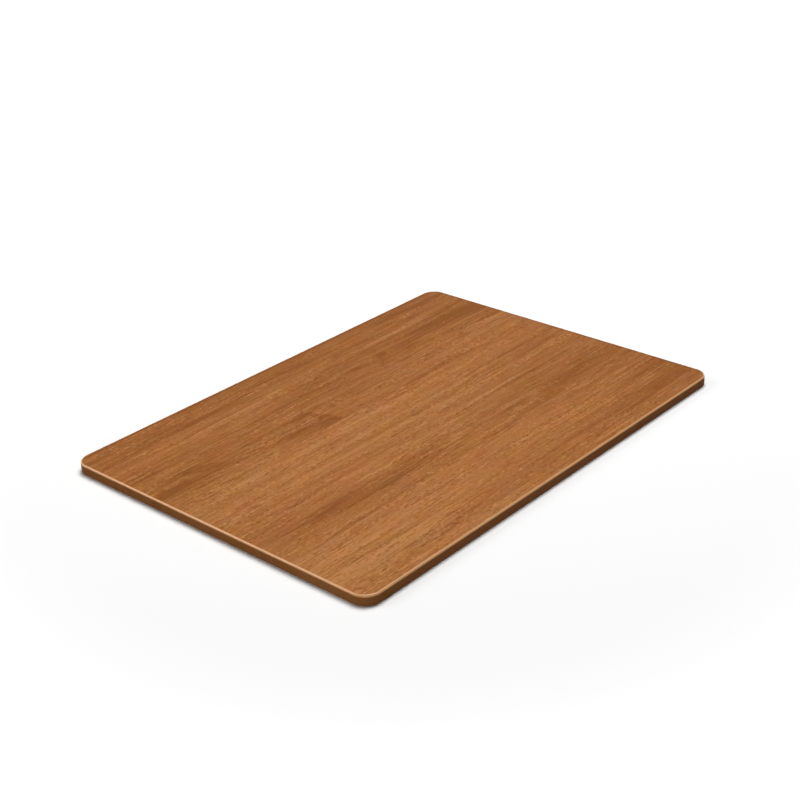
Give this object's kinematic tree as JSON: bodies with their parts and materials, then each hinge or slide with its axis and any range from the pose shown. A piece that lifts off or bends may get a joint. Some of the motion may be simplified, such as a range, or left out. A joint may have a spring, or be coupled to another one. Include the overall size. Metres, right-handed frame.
{
  "type": "wood wall panel sample",
  "caption": "Thin flat wooden wall panel sample with rounded corners, a softened show-face edge and satin oiled long-grain figure.",
  "frame": {"origin": "middle of the back face, on the surface the board lies on", "axes": "+X along the grain and the board's length, +Y across the grain, +Z out of the show face"},
  "size_m": [0.297, 0.21, 0.006],
  "materials": {
    "panel_wood": "satin oil over a fine long grain, warm red-brown"
  },
  "bodies": {
    "root": {"panel_board": "panel_wood"}
  },
  "joints": []
}
